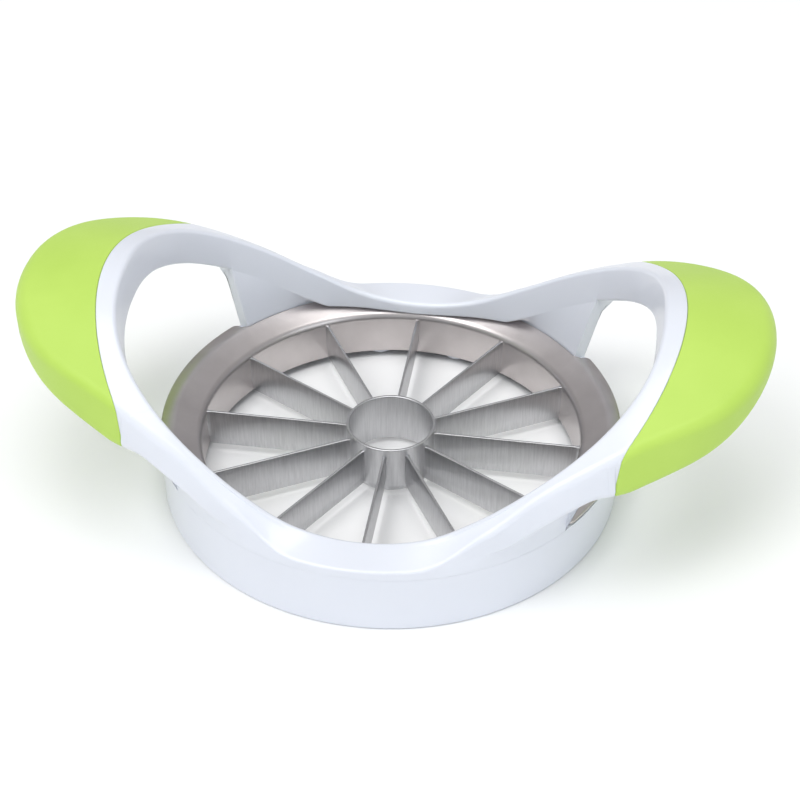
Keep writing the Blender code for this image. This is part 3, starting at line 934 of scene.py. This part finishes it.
def make_screws(material):
    """Pan head with a six-lobed socket, and a plain shank that tapers at its tip."""
    def ring(radius, height, lobe=0.0):
        points = []
        for k in range(screw_steps):
            turn = 2 * pi * k / screw_steps
            reach = radius * (1 + lobe * cos(socket_lobes * turn))
            points.append(Vector((reach * cos(turn), reach * sin(turn), height)))
        return points

    deep = screw_sink + screw_socket_depth
    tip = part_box("screw_1")[1].z
    socket = [(screw_socket_radius * socket_floor_share, deep), (screw_socket_radius, deep - screw_edge),
              (screw_socket_radius, screw_sink + screw_edge / 2),
              (screw_socket_radius + screw_edge / 2, screw_sink)]
    head = [(screw_head_radius - 3 * screw_edge, screw_sink),
            (screw_head_radius - screw_edge, screw_sink + screw_edge / 2),
            (screw_head_radius, screw_sink + 2 * screw_edge),
            (screw_head_radius, screw_seat - screw_edge / 2),
            (screw_head_radius - screw_edge / 2, screw_seat)]
    shank = [(screw_radius, screw_seat), (screw_radius, tip - 6 * screw_edge),
             (screw_radius * screw_tip_share, tip)]
    rings = [ring(radius, height, socket_lobe_share) for radius, height in socket]
    rings += [ring(radius, height) for radius, height in head + shank]
    for number, place in enumerate(screw_places(), start=1):
        body = bmesh.new()
        join_loops(body, [[point + place for point in loop] for loop in rings], closed=False)
        piece = add_piece(f"tapping_screw_{number}", body, material)
        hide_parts(f"screw_{number}")


def make_stage():
    """A pale matte floor just under the foot."""
    reach = 3.0
    drop = 0.00005
    pale = (0.93, 0.93, 0.93, 1)
    corners = [(-reach, -reach, 0), (reach, -reach, 0), (reach, reach, 0), (-reach, reach, 0)]
    floor_mesh = bpy.data.meshes.new("floor")
    floor_mesh.from_pydata(corners, [], [(0, 1, 2, 3)])
    made, _, _, shader = shader_of("pale_floor")
    shader.inputs["Base Color"].default_value = pale
    shader.inputs["Roughness"].default_value = 0.6
    floor_mesh.materials.append(made)
    floor = bpy.data.objects.new("floor", floor_mesh)
    floor.location.z = -drop
    bpy.context.scene.collection.objects.link(floor)


def add_light(name, place, aim, size, power, colour=(1, 1, 1)):
    """A round lamp at a place in metres, aimed at a point, with its power in watts."""
    data = bpy.data.lights.new(name, "AREA")
    data.shape = "DISK"
    data.size = size
    data.energy = power
    data.color = colour
    lamp = bpy.data.objects.new(name, data)
    lamp.location = place
    lamp.rotation_euler = (Vector(aim) - Vector(place)).to_track_quat("-Z", "Y").to_euler()
    bpy.context.scene.collection.objects.link(lamp)


def make_lights():
    """A studio, cool and bright in front, darker behind towards the horizon, with three lamps."""
    rear_stops = [(0.45, (0.62, 0.62, 0.64)), (1.0, (1.0, 1.0, 1.0)), (0.62, (0.60, 0.60, 0.61)),
                  (0.85, (0.80, 0.80, 0.82))]
    front_colour = (0.92, 0.96, 1.0, 1)
    middle = (0, 0, 0.03)
    world = bpy.data.worlds.new("studio")
    world.use_nodes = True
    nodes, links = world.node_tree.nodes, world.node_tree.links
    place = nodes.new("ShaderNodeTexCoord").outputs["Generated"]
    split = nodes.new("ShaderNodeSeparateXYZ")
    links.new(place, split.inputs[0])
    height = span(nodes, links, split.outputs["Z"], low=0.0, high=1.0, from_low=-1.0, from_high=1.0)
    ahead = span(nodes, links, split.outputs["Y"], low=1.0, high=0.0, from_low=-0.6, from_high=0.3)
    sky = nodes.new("ShaderNodeMix")
    sky.data_type = "RGBA"
    links.new(ahead, sky.inputs["Factor"])
    links.new(ramp(nodes, links, height, rear_stops), sky.inputs["A"])
    sky.inputs["B"].default_value = front_colour
    links.new(sky.outputs["Result"], nodes["Background"].inputs["Color"])
    nodes["Background"].inputs["Strength"].default_value = 0.59
    bpy.context.scene.world = world
    add_light("key", (-1.1, -1.2, 2.3), middle, size=1.5, power=20.0)
    add_light("fill", (1.6, -1.2, 0.9), middle, size=1.2, power=5.5, colour=(0.88, 0.94, 1.0))
    add_light("top", (0.0, -0.3, 2.7), (0, 0, 0), size=2.4, power=37.0)


def make_camera():
    """The camera that the photograph's outlines were fitted with."""
    frame_pixels = 800
    azimuth, elevation = radians(8.741), radians(40.621)
    distance = 0.38847
    focal_pixels = 1659.9
    centre_x, centre_y = 390.9, 467.4
    data = bpy.data.cameras.new("photo_camera")
    data.sensor_width = 36.0
    data.lens = focal_pixels / frame_pixels * data.sensor_width
    data.shift_x = (frame_pixels / 2 - centre_x) / frame_pixels
    data.shift_y = (centre_y - frame_pixels / 2) / frame_pixels
    data.clip_start = 0.01
    data.clip_end = 20.0
    forward = Vector((-sin(azimuth) * cos(elevation), cos(azimuth) * cos(elevation), -sin(elevation)))
    camera = bpy.data.objects.new("photo_camera", data)
    camera.location = -forward * distance
    camera.rotation_euler = forward.to_track_quat("-Z", "Y").to_euler()
    bpy.context.scene.collection.objects.link(camera)
    bpy.context.scene.camera = camera


make_camera()
white = white_plastic()
lime = lime_rubber()
steel = pressed_steel()
ground = blade_steel()
make_skirt(white)
make_frame(white)
make_grip("grip_skin_right", "grip_right", 1, lime)
make_grip("grip_skin_left", "grip_left", -1, lime)
make_blade_ring(steel)
make_core_ring(ground)
make_blades(ground)
make_screws(screw_steel())
make_stage()
make_lights()
bpy.context.scene.view_settings.view_transform = "Standard"
